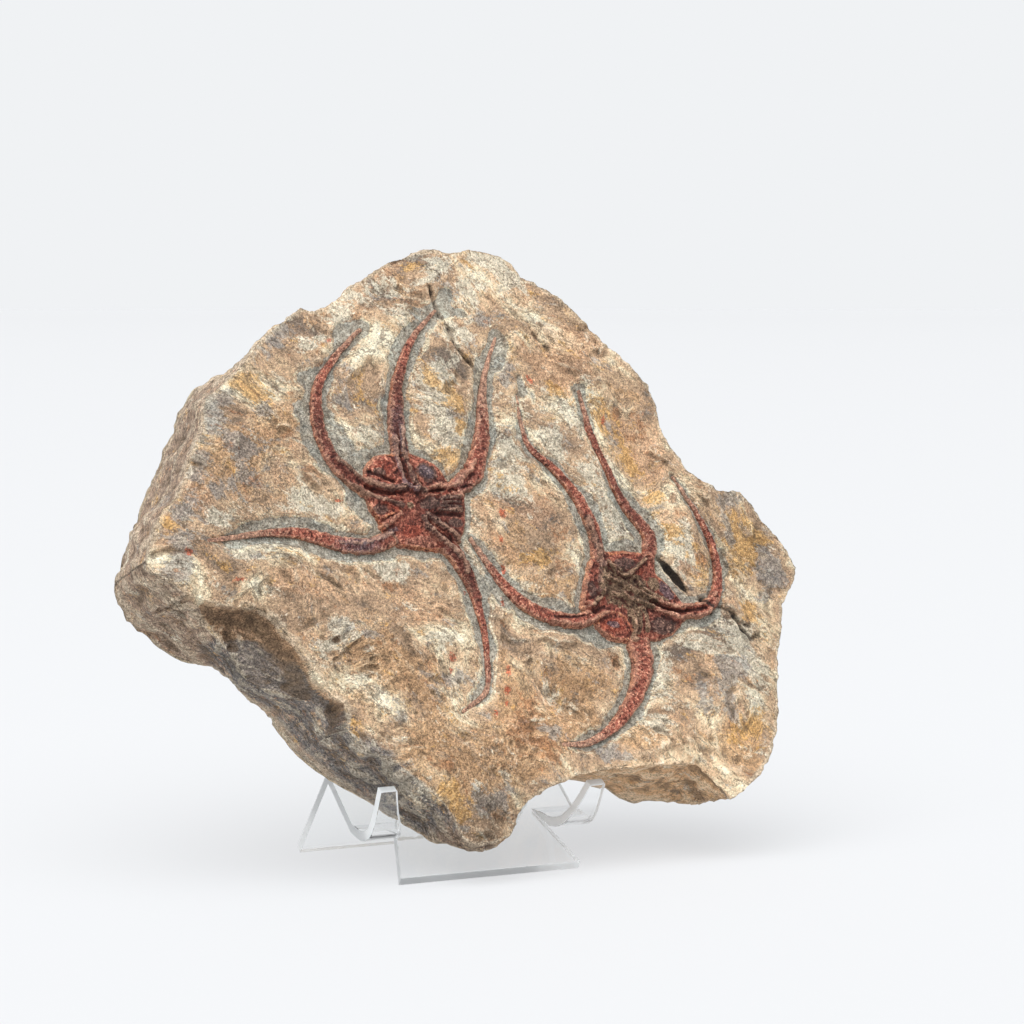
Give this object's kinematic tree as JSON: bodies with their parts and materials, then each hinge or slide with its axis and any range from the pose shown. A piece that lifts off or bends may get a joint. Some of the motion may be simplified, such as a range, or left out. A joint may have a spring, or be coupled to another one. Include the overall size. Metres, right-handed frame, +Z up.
{
  "type": "brittle star fossil",
  "caption": "Rough slab of sandy stone with fossil brittle stars in red relief on its face, leaning on a bent clear acrylic easel.",
  "frame": {"origin": "on the floor, under the middle of the whole object", "axes": "+X to the right along the stand and the slab's width, +Y towards the stand's back foot, +Z up; the slab's face looks towards -Y and leans back"},
  "size_m": [0.2223, 0.0807, 0.1922],
  "materials": {
    "stone": "rough, tan and grey, unpolished",
    "fossil": "rough, red brown to maroon mineral",
    "acrylic": "clear, polished, bent acrylic sheet"
  },
  "bodies": {
    "root": {"stone_slab": "stone", "brittle_star_left": "fossil", "brittle_star_right": "fossil", "display_stand": "acrylic"}
  },
  "joints": []
}
